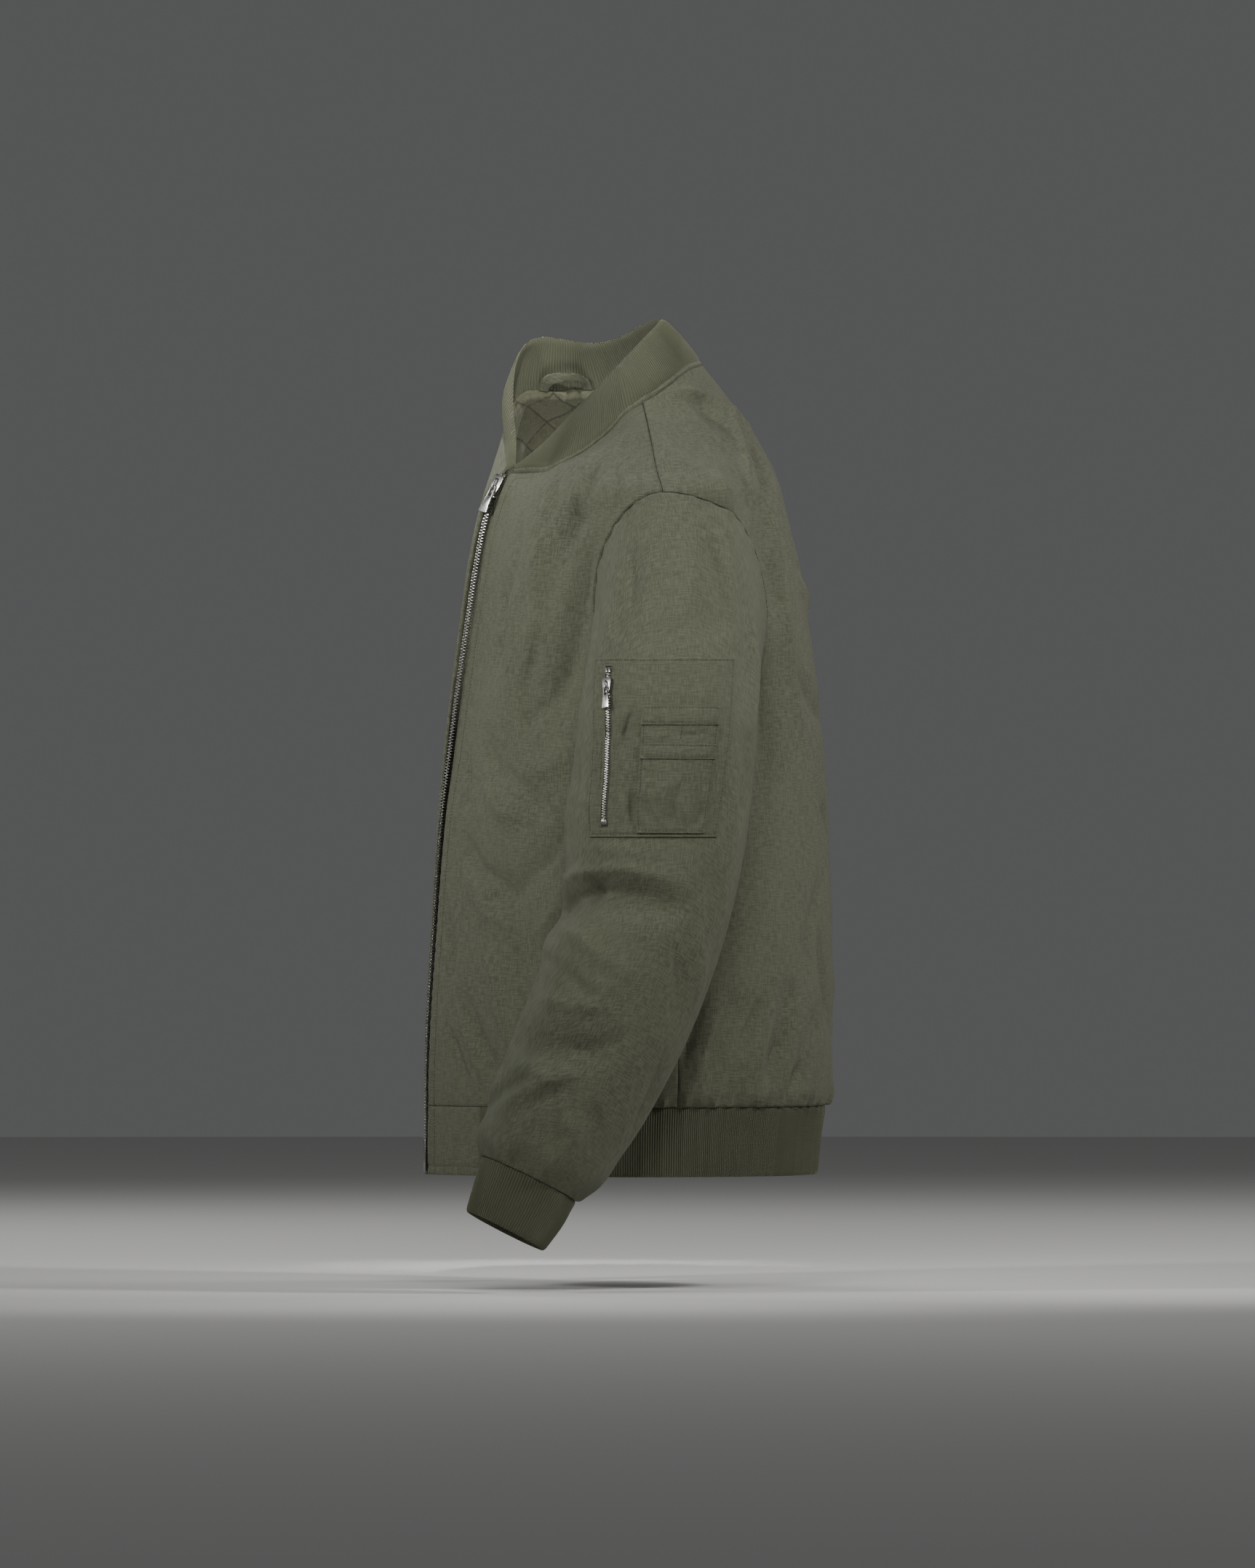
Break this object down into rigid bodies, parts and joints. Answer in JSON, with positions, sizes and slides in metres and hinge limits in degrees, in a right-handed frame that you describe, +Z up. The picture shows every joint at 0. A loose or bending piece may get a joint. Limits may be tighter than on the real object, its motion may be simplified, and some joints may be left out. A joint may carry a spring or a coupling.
{
  "type": "bomber jacket",
  "caption": "Zip-front bomber jacket held open as if worn, with rib collar, hem and cuffs, a quilted neck lining, a hanger loop and a zipped sleeve pocket.",
  "frame": {"origin": "on the middle plane between the two points where the collar meets the shoulder seams, where the wearer's shoulders carry the jacket", "axes": "+Z up, -Y the way the front faces, +X the wearer's left"},
  "size_m": [0.7026, 0.3581, 0.7961],
  "materials": {
    "shell": "matt woven cotton-nylon",
    "rib": "rib knit",
    "lining": "soft quilted lining",
    "zip_tape": "woven tape",
    "nickel": "polished nickel plate"
  },
  "bodies": {
    "jacket": {"left_front": "shell", "right_front": "shell", "back": "shell", "left_sleeve": "shell", "right_sleeve": "shell", "hem_block_left": "shell", "hem_block_right": "shell", "neck_band": "shell", "hanger_loop": "shell", "pocket_patch": "shell", "pen_pocket": "shell", "pen_pocket_band": "shell", "pen_pocket_mouth": "shell", "collar": "rib", "hem_rib": "rib", "left_cuff": "rib", "right_cuff": "rib", "neck_lining": "lining", "zip_tape_left": "zip_tape", "zip_tape_right": "zip_tape", "pocket_tape": "zip_tape", "zip_chain": "nickel", "zip_slider": "nickel", "zip_top_stop_left": "nickel", "zip_top_stop_right": "nickel", "zip_bottom_box": "nickel", "pocket_chain": "nickel", "pocket_slider": "nickel", "pocket_top_stop_front": "nickel", "pocket_top_stop_back": "nickel", "pocket_bottom_stop": "nickel"},
    "front_pull": {"zip_pull": "nickel"},
    "pocket_pull_tab": {"pocket_pull": "nickel"}
  },
  "joints": [
    {"name": "front_pull_hinge", "type": "hinge", "parent": "jacket", "child": "front_pull", "pos_m": [0.00212, -0.11708, -0.07236], "axis": [-0.7302, -0.6232, 0.28], "range_deg": [0, 160]},
    {"name": "pocket_pull_hinge", "type": "hinge", "parent": "jacket", "child": "pocket_pull_tab", "pos_m": [0.31316, -0.07412, -0.24595], "axis": [-0.6514, -0.7266, -0.2186], "range_deg": [0, 160]}
  ]
}
